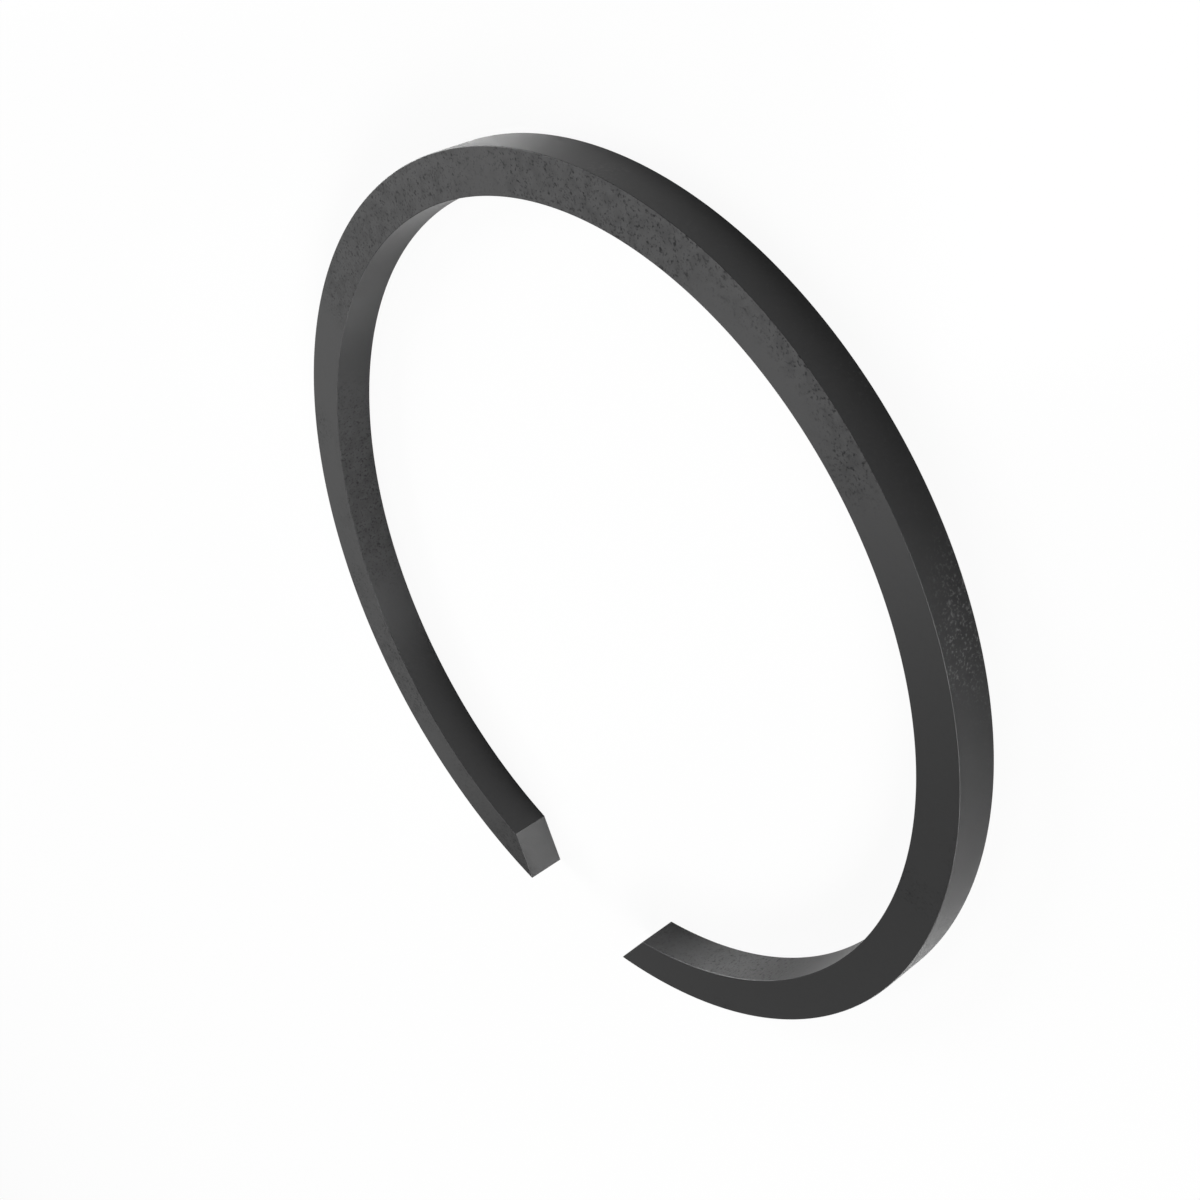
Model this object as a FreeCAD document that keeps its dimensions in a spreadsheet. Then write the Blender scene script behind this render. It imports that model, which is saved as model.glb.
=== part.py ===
"""Internal snap ring: a spring-steel ring of square wire that springs out into the groove of a bore.

Flat wire is coiled on edge into a ring. A shaped shear then takes out a piece, which leaves a gap
with bevelled ends: narrow at the outside, wide at the inside, so that a tool can get behind an end.
Tumbling breaks every edge alike. The ring is one piece, in its free state, and nothing on it moves.

It lies flat. The origin is on the ring's axis, level with the lower face, +Z goes up through
the opening, and the gap is centred on -Y. Lengths are in millimetres and angles in degrees.
"""

import FreeCAD, Part
import math
import os

import Sketcher

parts_folder = "parts"

# The driving dimensions: alias, value and what it measures.
driving_dimensions = [
    ("free_outside_diameter", 30.8, "across the outside, with nothing pressing the ring"),
    ("radial_width", 1.5, "the wire's section, from the inside to the outside of the ring"),
    ("thickness", 1.5, "the wire's section, along the ring's axis"),
    ("gap_at_outside", 5.25, "straight across the gap, from point to point of the two ends"),
    ("end_bevel", 30.0, "each end face, from the centre line of the gap"),
    ("edge_radius", 0.02, "what tumbling leaves on every edge"),
]

# How a sketch's constraints number its own origin and axes, and the points of a line or circle.
sketch_origin = (-1, 1)
horizontal_axis, vertical_axis = -1, -2
line_start, line_end, circle_centre = 1, 2, 3


def make_sizes_sheet(document):
    """Puts each driving dimension in a row of the sheet, as a plain number with an alias."""
    sheet = document.addObject("Spreadsheet::Sheet", "Sizes")
    for row, (alias, value, meaning) in enumerate(driving_dimensions, start=1):
        sheet.set(f"A{row}", alias)
        sheet.set(f"B{row}", str(value))
        sheet.setAlias(f"B{row}", alias)
        sheet.set(f"C{row}", meaning)
    document.recompute()
    return sheet


def origin_feature(body, role):
    """One of the body's own origin planes or axes, found by its role."""
    return next(f for f in body.Origin.OriginFeatures if f.Role == role)


def new_sketch(body, name, plane):
    """An empty sketch on one of the body's origin planes."""
    sketch = body.newObject("Sketcher::SketchObject", name)
    sketch.AttachmentSupport = [(origin_feature(body, plane), "")]
    sketch.MapMode = "FlatFace"
    return sketch


def close_outline(sketch, corners):
    """Draws a closed outline of straight lines through the corners and gives the lines' numbers."""
    lines = []
    for corner, following in zip(corners, corners[1:] + corners[:1]):
        lines.append(sketch.addGeometry(Part.LineSegment(corner, following)))
    for line, following in zip(lines, lines[1:] + lines[:1]):
        sketch.addConstraint(
            Sketcher.Constraint("Coincident", line, line_end, following, line_start)
        )
    return lines


def drive(sketch, name, constraint, expression):
    """Adds a named dimension to the sketch and binds it to the sheet."""
    number = sketch.addConstraint(constraint)
    sketch.renameConstraint(number, name)
    sketch.setExpression(f"Constraints.{name}", expression)


def draw_wire_section(body, sizes):
    """The wire's section beside the ring's axis: a rectangle that stands on the lower face."""
    sketch = new_sketch(body, "wire_section", "XZ_Plane")
    outside = sizes.free_outside_diameter / 2
    inside = outside - sizes.radial_width
    corners = [
        FreeCAD.Vector(inside, 0, 0),
        FreeCAD.Vector(outside, 0, 0),
        FreeCAD.Vector(outside, sizes.thickness, 0),
        FreeCAD.Vector(inside, sizes.thickness, 0),
    ]
    floor, outer_wall, top, inner_wall = close_outline(sketch, corners)
    for line in (floor, top):
        sketch.addConstraint(Sketcher.Constraint("Horizontal", line))
    for line in (outer_wall, inner_wall):
        sketch.addConstraint(Sketcher.Constraint("Vertical", line))
    sketch.addConstraint(
        Sketcher.Constraint("PointOnObject", floor, line_start, horizontal_axis)
    )
    drive(
        sketch,
        "outside_radius",
        Sketcher.Constraint("DistanceX", *sketch_origin, floor, line_end, outside),
        "Sizes.free_outside_diameter / 2",
    )
    drive(
        sketch,
        "section_width",
        Sketcher.Constraint("DistanceX", floor, line_start, floor, line_end, sizes.radial_width),
        "Sizes.radial_width",
    )
    drive(
        sketch,
        "section_height",
        Sketcher.Constraint(
            "DistanceY", outer_wall, line_start, outer_wall, line_end, sizes.thickness
        ),
        "Sizes.thickness",
    )
    return sketch


def coil_wire(body, section):
    """Turns the section once round the ring's axis, into a ring with no gap yet."""
    ring = body.newObject("PartDesign::Revolution", "coiled_wire")
    ring.Profile = section
    ring.ReferenceAxis = (section, ["V_Axis"])
    ring.Angle = 360.0
    return ring


def draw_gap_shear(body, sizes):
    """The outline of the shear that takes out the gap, seen along the ring's axis.

    Its two slanted sides become the end faces. They pass through two tips, which lie on
    the ring's outside circle, gap_at_outside apart, and spread towards the ring's middle.
    The shear reaches one wire's width past both sides of the wire.
    """
    sketch = new_sketch(body, "gap_shear", "XY_Plane")
    outside = sizes.free_outside_diameter / 2
    half_gap = sizes.gap_at_outside / 2
    slope = math.tan(math.radians(sizes.end_bevel))
    tip_y = -math.sqrt(outside**2 - half_gap**2)
    outer_y = -(outside + sizes.radial_width)
    inner_y = -(outside - 2 * sizes.radial_width)
    outer_x = half_gap + (outer_y - tip_y) * slope
    inner_x = half_gap + (inner_y - tip_y) * slope
    corners = [
        FreeCAD.Vector(-outer_x, outer_y, 0),
        FreeCAD.Vector(outer_x, outer_y, 0),
        FreeCAD.Vector(inner_x, inner_y, 0),
        FreeCAD.Vector(-inner_x, inner_y, 0),
    ]
    outer_side, right_face, inner_side, left_face = close_outline(sketch, corners)
    for line in (outer_side, inner_side):
        sketch.addConstraint(
            Sketcher.Constraint("Symmetric", line, line_start, line, line_end, vertical_axis)
        )

    # The outside circle and the tip of the right-hand end, for construction only.
    circle = sketch.addGeometry(
        Part.Circle(FreeCAD.Vector(0, 0, 0), FreeCAD.Vector(0, 0, 1), outside), True
    )
    sketch.addConstraint(
        Sketcher.Constraint("Coincident", circle, circle_centre, *sketch_origin)
    )
    tip = sketch.addGeometry(Part.Point(FreeCAD.Vector(half_gap, tip_y, 0)), True)
    for carrier in (circle, right_face):
        sketch.addConstraint(Sketcher.Constraint("PointOnObject", tip, line_start, carrier))

    drive(
        sketch,
        "outside_diameter",
        Sketcher.Constraint("Diameter", circle, sizes.free_outside_diameter),
        "Sizes.free_outside_diameter",
    )
    drive(
        sketch,
        "half_gap",
        Sketcher.Constraint("DistanceX", *sketch_origin, tip, line_start, half_gap),
        "Sizes.gap_at_outside / 2",
    )
    drive(
        sketch,
        "bevel",
        Sketcher.Constraint(
            "Angle", right_face, line_start, vertical_axis, line_start,
            math.radians(sizes.end_bevel),
        ),
        "Sizes.end_bevel",
    )
    drive(
        sketch,
        "outer_reach",
        Sketcher.Constraint("DistanceY", outer_side, line_start, *sketch_origin, -outer_y),
        "Sizes.free_outside_diameter / 2 + Sizes.radial_width",
    )
    drive(
        sketch,
        "inner_reach",
        Sketcher.Constraint("DistanceY", inner_side, line_start, *sketch_origin, -inner_y),
        "Sizes.free_outside_diameter / 2 - 2 * Sizes.radial_width",
    )
    return sketch


def shear_gap(body, outline):
    """Cuts the gap right through the wire, along the ring's axis."""
    gap = body.newObject("PartDesign::Pocket", "sheared_gap")
    gap.Profile = outline
    gap.Type = "ThroughAll"
    gap.SideType = "Symmetric"
    return gap


def break_edges(body, blank):
    """Rounds every edge of the cut ring alike, as tumbling does."""
    rounding = body.newObject("PartDesign::Fillet", "tumbled_edges")
    rounding.Base = (blank, [])
    rounding.UseAllEdges = True
    rounding.setExpression("Radius", "Sizes.edge_radius")
    return rounding


def make_snap_ring(document, sizes):
    """The whole ring, as one body."""
    body = document.addObject("PartDesign::Body", "snap_ring")
    body.Label = "snap_ring"
    section = draw_wire_section(body, sizes)
    document.recompute()
    ring = coil_wire(body, section)
    document.recompute()
    full_volume = ring.Shape.Volume
    outline = draw_gap_shear(body, sizes)
    document.recompute()
    gap = shear_gap(body, outline)
    document.recompute()
    if not gap.Shape.Volume < full_volume:
        raise RuntimeError("the shear took nothing out of the ring")
    body.Tip = break_edges(body, gap)
    document.recompute()
    return body


def check_document(document, bodies):
    """Stops before anything is written if a feature failed or a shape isn't one sound solid."""
    for item in document.Objects:
        if "Invalid" in item.State or "Error" in item.State:
            raise RuntimeError(f"{item.Name} failed: {item.State}")
    for body in bodies:
        shape = body.Shape
        if shape.isNull() or not shape.isValid() or len(shape.Solids) != 1:
            raise RuntimeError(f"{body.Label} is not one valid solid")


def main():
    document = FreeCAD.newDocument("internal_snap_ring")
    sizes = make_sizes_sheet(document)
    bodies = [make_snap_ring(document, sizes)]
    check_document(document, bodies)
    os.makedirs(parts_folder, exist_ok=True)
    for body in bodies:
        body.Shape.exportStep(os.path.join(parts_folder, body.Label + ".step"))
        box = body.Shape.optimalBoundingBox(False)
        print(
            f"{body.Label}: {box.XLength:.3f} x {box.YLength:.3f} x {box.ZLength:.3f} mm, "
            f"{body.Shape.Volume:.2f} cubic mm, {len(body.Shape.Faces)} faces"
        )


main()
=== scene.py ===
import math

import bpy
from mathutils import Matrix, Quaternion, Vector


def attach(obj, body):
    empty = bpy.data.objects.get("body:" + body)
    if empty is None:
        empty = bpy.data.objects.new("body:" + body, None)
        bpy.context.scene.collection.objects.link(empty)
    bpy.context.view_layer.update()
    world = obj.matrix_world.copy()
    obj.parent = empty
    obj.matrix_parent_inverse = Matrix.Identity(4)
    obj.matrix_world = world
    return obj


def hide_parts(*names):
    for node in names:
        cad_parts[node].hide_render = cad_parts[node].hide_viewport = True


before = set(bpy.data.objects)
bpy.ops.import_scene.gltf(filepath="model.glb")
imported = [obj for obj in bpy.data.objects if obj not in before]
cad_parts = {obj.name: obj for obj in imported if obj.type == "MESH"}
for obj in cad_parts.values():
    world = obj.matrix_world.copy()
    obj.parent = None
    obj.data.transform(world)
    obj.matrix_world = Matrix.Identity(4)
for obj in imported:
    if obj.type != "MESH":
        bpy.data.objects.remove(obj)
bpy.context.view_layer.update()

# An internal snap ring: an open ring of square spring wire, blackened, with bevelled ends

mm = 0.001
print("frame loaded")


# Small helpers for building node trees

def newTree(name, treeType, inputs, outputs):
    tree = bpy.data.node_groups.new(name, treeType)
    for socketName, socketType, value in inputs:
        socket = tree.interface.new_socket(socketName, in_out="INPUT", socket_type=socketType)
        if value is not None:
            socket.default_value = value
    for socketName, socketType in outputs:
        tree.interface.new_socket(socketName, in_out="OUTPUT", socket_type=socketType)
    return tree, tree.nodes.new("NodeGroupInput").outputs, tree.nodes.new("NodeGroupOutput").inputs


def join(tree, source, target):
    # A socket is linked, anything else is a value that the socket keeps
    if isinstance(source, bpy.types.NodeSocket):
        tree.links.new(source, target)
    else:
        target.default_value = source


def addNode(tree, nodeType, settings=None, **inputs):
    # Input names are the sockets' own names, with underscores for spaces
    node = tree.nodes.new(nodeType)
    for setting, value in (settings or {}).items():
        setattr(node, setting, value)
    for name, source in inputs.items():
        join(tree, source, node.inputs[name.replace("_", " ")])
    return node


def mathNode(tree, operation, *sources):
    node = tree.nodes.new("ShaderNodeMath")
    node.operation = operation
    for source, target in zip(sources, node.inputs):
        join(tree, source, target)
    return node.outputs[0]


# The ring

ringSize = {
    "Outside Radius": 15.4 * mm,
    "Inside Radius": 13.9 * mm,
    "Thickness": 1.5 * mm,
    "Gap At Outside": 5.25 * mm,  # straight across, from tip to tip
    "End Bevel": math.radians(30),  # each end face, from the gap's centre line
    "Edge Radius": 0.02 * mm,
    "Steps": 480,  # facets round the ring
}
edgeSteps = 3  # facets across a rounded edge
tipReach = 2.5  # the most that a rounding takes off beside an edge, in edge radii
leastEdge = math.radians(20)  # what turns less than this is a joint between two facets of a wall


def buildRingTree():
    inputs = [(name, "NodeSocketFloat", 0.0) for name in ringSize if name != "Steps"]
    inputs += [("Steps", "NodeSocketInt", 1), ("Finish", "NodeSocketMaterial", None)]
    outputs = [("Ring", "NodeSocketGeometry")]
    tree, given, result = newTree("coiledRing", "GeometryNodeTree", inputs, outputs)

    def calc(operation, *sources):
        return mathNode(tree, operation, *sources)

    # An end face seen from above is a line through the tip, this far from the ring's axis
    halfGap = calc("DIVIDE", given["Gap At Outside"], 2.0)
    outsideSquare = calc("MULTIPLY", given["Outside Radius"], given["Outside Radius"])
    tipDepth = calc("SQRT", calc("SUBTRACT", outsideSquare, calc("MULTIPLY", halfGap, halfGap)))
    bevelSide = calc("MULTIPLY", halfGap, calc("COSINE", given["End Bevel"]))
    faceDistance = calc("MULTIPLY_ADD", tipDepth, calc("SINE", given["End Bevel"]), bevelSide)

    def turnAt(radius):
        # How far the wire reaches round from the middle of the back, at this radius
        lean = calc("SUBTRACT", math.pi / 2, given["End Bevel"])
        halfOpening = calc("SUBTRACT", lean, calc("ARCCOSINE", calc("DIVIDE", faceDistance, radius)))
        return calc("SUBTRACT", math.pi, halfOpening)

    # Coil the wire's section round the arc
    middleRadius = calc("DIVIDE", calc("ADD", given["Outside Radius"], given["Inside Radius"]), 2.0)
    wireWidth = calc("SUBTRACT", given["Outside Radius"], given["Inside Radius"])
    middleTurn = turnAt(middleRadius)
    arc = addNode(
        tree, "GeometryNodeCurveArc", Resolution=given["Steps"], Radius=middleRadius,
        Start_Angle=calc("SUBTRACT", math.pi / 2, middleTurn),
        Sweep_Angle=calc("MULTIPLY", middleTurn, 2.0),
    )
    section = addNode(
        tree, "GeometryNodeCurvePrimitiveQuadrilateral", Width=wireWidth, Height=given["Thickness"]
    )
    coil = addNode(
        tree, "GeometryNodeCurveToMesh",
        Curve=arc.outputs[0], Profile_Curve=section.outputs[0], Fill_Caps=True,
    )

    # Shear the ends: each radius keeps its own reach, and the wire lies on the floor
    place = addNode(tree, "GeometryNodeInputPosition").outputs[0]
    x, y, z = addNode(tree, "ShaderNodeSeparateXYZ", Vector=place).outputs
    radius = calc("SQRT", calc("ADD", calc("MULTIPLY", x, x), calc("MULTIPLY", y, y)))
    turn = calc("MULTIPLY", calc("ARCTAN2", x, y), calc("DIVIDE", turnAt(radius), middleTurn))
    sheared = addNode(
        tree, "ShaderNodeCombineXYZ",
        X=calc("MULTIPLY", radius, calc("SINE", turn)),
        Y=calc("MULTIPLY", radius, calc("COSINE", turn)),
        Z=calc("ADD", z, calc("DIVIDE", given["Thickness"], 2.0)),
    )
    cut = addNode(tree, "GeometryNodeSetPosition", Geometry=coil.outputs[0], Position=sheared.outputs[0])

    # A rounding takes off more beside a sharper edge, and nothing between facets of a wall
    edgeAngle = addNode(tree, "GeometryNodeInputMeshEdgeAngle").outputs["Unsigned Angle"]
    offset = calc("DIVIDE", calc("TANGENT", calc("DIVIDE", edgeAngle, 2.0)), tipReach)
    isEdge = calc("GREATER_THAN", edgeAngle, leastEdge)
    weighted = addNode(
        tree, "GeometryNodeStoreNamedAttribute", {"data_type": "FLOAT", "domain": "EDGE"},
        Geometry=cut.outputs[0], Name="bevel_weight_edge", Value=calc("MULTIPLY", offset, isEdge),
    )
    smooth = addNode(
        tree, "GeometryNodeSetShadeSmooth", Geometry=weighted.outputs[0], Shade_Smooth=True
    )
    real = addNode(tree, "GeometryNodeRealizeInstances", Geometry=smooth.outputs[0])
    finished = addNode(
        tree, "GeometryNodeSetMaterial", Geometry=real.outputs[0], Material=given["Finish"]
    )
    join(tree, finished.outputs[0], result["Ring"])
    return tree


def makeRing(finish):
    ring = bpy.data.objects.new("ringOfSquareWire", bpy.data.meshes.new("ringOfSquareWire"))
    bpy.context.scene.collection.objects.link(ring)
    coil = ring.modifiers.new("coil", "NODES")
    coil.node_group = buildRingTree()
    sockets = {item.name: item.identifier for item in coil.node_group.interface.items_tree}
    for name, value in {**ringSize, "Finish": finish}.items():
        coil[sockets[name]] = value
    rounding = ring.modifiers.new("rounding", "BEVEL")
    rounding.limit_method = "WEIGHT"
    rounding.width = ringSize["Edge Radius"] * tipReach
    rounding.segments = edgeSteps
    rounding.use_clamp_overlap = False
    rounding.harden_normals = True

    bpy.context.view_layer.update()
    depsgraph = bpy.context.evaluated_depsgraph_get()
    plain = bpy.data.meshes.new_from_object(
        ring.evaluated_get(depsgraph), preserve_all_data_layers=True, depsgraph=depsgraph
    )
    ring.modifiers.clear()
    ring.data = plain
    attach(ring, "root")
    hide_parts("snap_ring")
    return ring


# Finish of the ring

steelFinish = {
    "metallic": 1.0,
    "roughness": 0.32,
    "grainSize": 0.1 * mm,
    "grainRange": (0.3, 0.7),  # where most of the grain's noise lies
    "grainRoughness": 0.03,  # either side of the steel's own, from grain to grain
    "bumpDepth": 0.001 * mm,
    "cloudColour": (0.034, 0.034, 0.0345, 1),
    "cloudSize": 0.4 * mm,
    "cloudEdge": (0.4, 0.65),
    "cloudDepth": 0.42,  # how far a soft cloud goes to its colour
    "fineFlecks": {"Size": 0.09 * mm, "Edge": 0.52, "Softness": 0.24},
    "coarseFlecks": {"Size": 0.17 * mm, "Edge": 0.59, "Softness": 0.16},
    "betweenPatches": 0.05,  # the flecks come in patches, and this much of them is left between
}
broadDetail = 2.0  # of the noise in patches and flecks
fineDetail = 3.0  # of the noise in clouds and grain

# Each surface of the wire has its own colour: the flat faces have the steel's own black, the outer and
# inner walls are darker with painted shade, and the ends are lighter with painted light. Its flecks come
# in patches (place slides them along, edge is where they fade in), in their own colour and that much
# rougher than the steel.
surfaces = {
    "flat": {
        "colour": (0.067, 0.067, 0.0675, 1),
        "patchSize": 8 * mm, "place": (0.095, -0.131, 0.087), "edge": (0.48, 0.59),
        "fleckColour": (0.018, 0.018, 0.0185, 1), "fleckRoughness": 0.02,
    },
    "outside": {
        # painted shade: the outer wall's colour is darker than the black of the flat faces
        "colour": (0.048, 0.048, 0.0485, 1),
        "patchSize": 7 * mm, "place": (-0.135, -0.0672, -0.012), "edge": (0.53, 0.67),
        "fleckColour": (0.125, 0.125, 0.125, 1), "fleckRoughness": 0.1,
    },
    "inside": {
        # painted shade: the inner wall's colour is a little darker than the black of the flat faces
        "colour": (0.057, 0.057, 0.0575, 1),
        "patchSize": 13 * mm, "place": (-0.043, -0.147, -0.185), "edge": (0.54, 0.66),
        "fleckColour": (0.026, 0.026, 0.0265, 1), "fleckRoughness": 0.16,
    },
    "end": {
        # painted light: the end faces' colour is lighter than the black of the flat faces
        "colour": (0.11, 0.11, 0.1105, 1),
        "patchSize": 7 * mm, "place": (0.0, 0.0, 0.0), "edge": (0.56, 0.7),
        "fleckColour": (0.05, 0.05, 0.0505, 1), "fleckRoughness": 0.05,
    },
}


def makeFlecks():
    # Ragged spots where a fine noise runs high: 1 on a spot and 0 beside it
    inputs = [("Place", "NodeSocketVector", None)]
    inputs += [(name, "NodeSocketFloat", value) for name, value in steelFinish["fineFlecks"].items()]
    outputs = [("Mask", "NodeSocketFloat")]
    tree, given, result = newTree("flecks", "ShaderNodeTree", inputs, outputs)
    noise = addNode(
        tree, "ShaderNodeTexNoise", Vector=given["Place"],
        Scale=mathNode(tree, "DIVIDE", 1.0, given["Size"]), Detail=broadDetail,
    )
    spot = addNode(
        tree, "ShaderNodeMapRange", {"interpolation_type": "SMOOTHSTEP"}, Value=noise.outputs[0],
        From_Min=given["Edge"], From_Max=mathNode(tree, "ADD", given["Edge"], given["Softness"]),
    )
    join(tree, spot.outputs[0], result["Mask"])
    return tree


def mixNode(tree, kind, factor, first, second):
    # The kind is FLOAT for plain numbers and RGBA for colours, and each has its own sockets
    node = addNode(tree, "ShaderNodeMix", {"data_type": kind})
    firstInput, output = {"FLOAT": (2, 0), "RGBA": (6, 2)}[kind]
    join(tree, factor, node.inputs[0])
    join(tree, first, node.inputs[firstInput])
    join(tree, second, node.inputs[firstInput + 1])
    return node.outputs[output]


def makeSteel():
    look = steelFinish
    material = bpy.data.materials.new("blackenedSteel")
    material.use_nodes = True
    tree = material.node_tree
    shader = tree.nodes["Principled BSDF"]
    place = addNode(tree, "ShaderNodeTexCoord").outputs["Object"]
    flecksTree = makeFlecks()

    def calc(operation, *sources):
        return mathNode(tree, operation, *sources)

    def flecks(values):
        group = addNode(tree, "ShaderNodeGroup", {"node_tree": flecksTree}, Place=place, **values)
        return group.outputs["Mask"]

    def noise(size, detail, where=place):
        return addNode(tree, "ShaderNodeTexNoise", Vector=where, Scale=1 / size, Detail=detail).outputs[0]

    # A point's surface, from the sizes of the wire: what is on none of these three is on an end
    x, y, z = addNode(tree, "ShaderNodeSeparateXYZ", Vector=place).outputs
    halfThickness = ringSize["Thickness"] / 2
    halfRounding = ringSize["Edge Radius"] / 2
    offMiddle = calc("ABSOLUTE", calc("SUBTRACT", z, halfThickness))
    onFlat = calc("GREATER_THAN", offMiddle, halfThickness - halfRounding)
    radius = calc("SQRT", calc("MULTIPLY_ADD", x, x, calc("MULTIPLY", y, y)))
    onOutside = calc("GREATER_THAN", radius, ringSize["Outside Radius"] - halfRounding)
    onInside = calc("LESS_THAN", radius, ringSize["Inside Radius"] + halfRounding)

    def bySurface(kind, values):
        chosen = values["end"]
        for name, mask in {"inside": onInside, "outside": onOutside, "flat": onFlat}.items():
            chosen = mixNode(tree, kind, mask, chosen, values[name])
        return chosen

    def valuesOf(key):
        return {name: surface[key] for name, surface in surfaces.items()}

    def patches(surface):
        slid = addNode(tree, "ShaderNodeMapping", Vector=place, Location=surface["place"]).outputs[0]
        return addNode(
            tree, "ShaderNodeMapRange", {"interpolation_type": "SMOOTHSTEP"},
            Value=noise(surface["patchSize"], broadDetail, slid),
            From_Min=surface["edge"][0], From_Max=surface["edge"][1],
            To_Min=look["betweenPatches"], To_Max=1.0,
        ).outputs[0]

    dense = bySurface("FLOAT", {name: patches(surface) for name, surface in surfaces.items()})
    spots = calc("MAXIMUM", flecks(look["fineFlecks"]), flecks(look["coarseFlecks"]))
    spots = calc("MULTIPLY", spots, dense)

    # Soft clouds darken the steel a little, and every grain has its own polish
    clouds = addNode(
        tree, "ShaderNodeMapRange", Value=noise(look["cloudSize"], fineDetail),
        From_Min=look["cloudEdge"][0], From_Max=look["cloudEdge"][1],
        To_Min=0.0, To_Max=look["cloudDepth"],
    ).outputs[0]
    grain = noise(look["grainSize"], fineDetail)
    # Base colour by surface: painted shade darkens the walls and painted light brightens the ends,
    # against the flat faces' own black
    steelWithPaintedLightAndShade = bySurface("RGBA", valuesOf("colour"))
    clouded = mixNode(tree, "RGBA", calc("MULTIPLY", clouds, dense), steelWithPaintedLightAndShade, look["cloudColour"])
    flecked = mixNode(tree, "RGBA", spots, clouded, bySurface("RGBA", valuesOf("fleckColour")))
    join(tree, flecked, shader.inputs["Base Color"])
    grained = addNode(
        tree, "ShaderNodeMapRange", {"clamp": False}, Value=grain,
        From_Min=look["grainRange"][0], From_Max=look["grainRange"][1],
        To_Min=-look["grainRoughness"], To_Max=look["grainRoughness"],
    ).outputs[0]
    polish = calc("MULTIPLY_ADD", grained, dense, look["roughness"])
    rougher = bySurface("FLOAT", valuesOf("fleckRoughness"))
    join(tree, calc("MULTIPLY_ADD", spots, rougher, polish), shader.inputs["Roughness"])
    relief = calc("MULTIPLY", calc("SUBTRACT", grain, spots), dense)
    bump = addNode(tree, "ShaderNodeBump", Height=relief, Distance=look["bumpDepth"])
    join(tree, bump.outputs[0], shader.inputs["Normal"])
    shader.inputs["Metallic"].default_value = look["metallic"]
    return material


ring = makeRing(makeSteel())
print("ring made:", len(ring.data.polygons), "faces")


# Floor, backdrop, lamps and camera

white = (1, 1, 1, 1)
floorLook = {
    "halfSide": 3.0,
    "colour": (0.8, 0.8, 0.8, 1),
    "roughness": 0.12,
    "whiteToCamera": 0.92,  # the rest is the paint itself, which keeps a soft shadow
    "whiteToGloss": 0.0,  # the ring mirrors the paint, with the shadow on it
}
backdropLook = {
    "white": 1.0,  # as the camera sees it
    "reflected": 0.375,  # as the ring mirrors it
}

# Each lamp is a soft panel: where it stands round the ring from +X, how high, its size and power
panelDistance = 300 * mm
panels = {
    "key": {"turn": 180, "height": 25, "wide": 140 * mm, "high": 120 * mm, "watts": 0.7},
    "front": {"turn": 219, "height": 33, "wide": 140 * mm, "high": 120 * mm, "watts": 0.032},
    "top": {"turn": 205, "height": 65, "wide": 150 * mm, "high": 150 * mm, "watts": 0.23},
    "gap": {"turn": 280, "height": 22, "wide": 120 * mm, "high": 120 * mm, "watts": 0.32},
    "side": {"turn": 345, "height": 32, "wide": 480 * mm, "high": 100 * mm, "watts": 1.2},
}


def raysToStage(tree):
    # 1 for what the camera sees of the stage, and 1 for what metal or glass shows of it
    path = addNode(tree, "ShaderNodeLightPath").outputs
    mirrored = mathNode(tree, "MAXIMUM", path["Is Glossy Ray"], path["Is Transmission Ray"])
    return path["Is Camera Ray"], mirrored


def makeFloor():
    half = floorLook["halfSide"]
    corners = [(-half, -half, 0), (half, -half, 0), (half, half, 0), (-half, half, 0)]
    mesh = bpy.data.meshes.new("floor")
    mesh.from_pydata(corners, [], [(0, 1, 2, 3)])
    floor = bpy.data.objects.new("floor", mesh)
    bpy.context.scene.collection.objects.link(floor)
    material = bpy.data.materials.new("paleFloor")
    material.use_nodes = True
    tree = material.node_tree
    paint = tree.nodes["Principled BSDF"]
    paint.inputs["Base Color"].default_value = floorLook["colour"]
    paint.inputs["Roughness"].default_value = floorLook["roughness"]
    glow = addNode(tree, "ShaderNodeEmission", Color=white, Strength=1.0)
    seen, mirrored = raysToStage(tree)
    toGloss = mathNode(tree, "MULTIPLY", mirrored, floorLook["whiteToGloss"])
    share = mathNode(tree, "MULTIPLY_ADD", seen, floorLook["whiteToCamera"], toGloss)
    mixed = addNode(tree, "ShaderNodeMixShader")
    join(tree, share, mixed.inputs[0])
    join(tree, paint.outputs[0], mixed.inputs[1])
    join(tree, glow.outputs[0], mixed.inputs[2])
    join(tree, mixed.outputs[0], tree.nodes["Material Output"].inputs["Surface"])
    mesh.materials.append(material)


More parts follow.
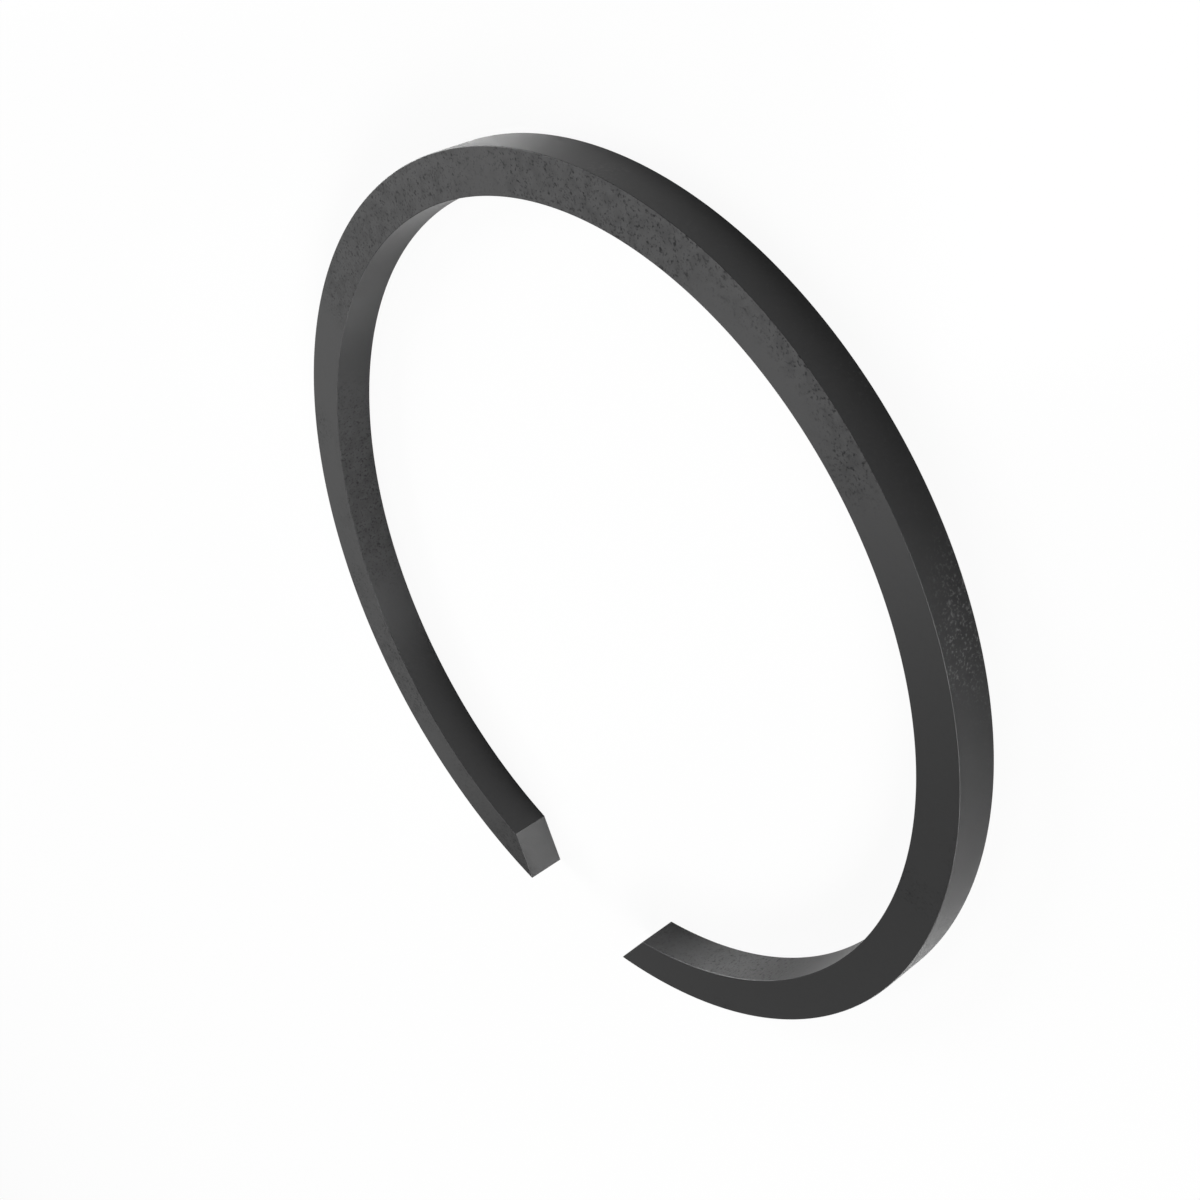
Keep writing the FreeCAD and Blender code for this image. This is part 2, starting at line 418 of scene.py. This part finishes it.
def makeBackdrop():
    world = bpy.data.worlds.new("backdrop")
    bpy.context.scene.world = world
    world.use_nodes = True
    tree = world.node_tree
    seen, mirrored = raysToStage(tree)
    toGloss = mathNode(tree, "MULTIPLY", mirrored, backdropLook["reflected"])
    strength = mathNode(tree, "MULTIPLY_ADD", seen, backdropLook["white"], toGloss)
    light = tree.nodes["Background"]
    light.inputs["Color"].default_value = white
    join(tree, strength, light.inputs["Strength"])


def makePanels():
    for name, panel in panels.items():
        turn, height = math.radians(panel["turn"]), math.radians(panel["height"])
        level = math.cos(height)
        away = Vector((math.cos(turn) * level, math.sin(turn) * level, math.sin(height)))
        light = bpy.data.lights.new(name + "Panel", "AREA")
        light.shape = "RECTANGLE"
        light.size = panel["wide"]
        light.size_y = panel["high"]
        light.energy = panel["watts"]
        lamp = bpy.data.objects.new(name + "Panel", light)
        lamp.location = away * panelDistance
        lamp.rotation_euler = (-away).to_track_quat("-Z", "Y").to_euler()
        bpy.context.scene.collection.objects.link(lamp)


cameraView = {
    "aim": Vector((0.026, 0.139, 0.75)) * mm,
    "distance": 55.02 * mm,
    "azimuth": math.radians(137.27),
    "elevation": math.radians(32.64),
    "roll": math.radians(118.63),
    "angle": math.radians(40),
    "nearest": 1 * mm,
}


def makeCamera():
    azimuth, elevation = cameraView["azimuth"], cameraView["elevation"]
    level = math.cos(elevation)
    back = Vector((math.sin(azimuth) * level, -math.cos(azimuth) * level, math.sin(elevation)))
    camera = bpy.data.objects.new("camera", bpy.data.cameras.new("camera"))
    bpy.context.scene.collection.objects.link(camera)
    camera.data.angle = cameraView["angle"]
    camera.data.clip_start = cameraView["nearest"]
    camera.location = cameraView["aim"] + back * cameraView["distance"]
    camera.rotation_mode = "QUATERNION"
    upright = (-back).to_track_quat("-Z", "Y")
    camera.rotation_quaternion = upright @ Quaternion((0, 0, 1), -cameraView["roll"])
    bpy.context.scene.camera = camera


makeFloor()
makeBackdrop()
makePanels()
makeCamera()
bpy.context.scene.view_settings.view_transform = "Standard"
print("stage made")
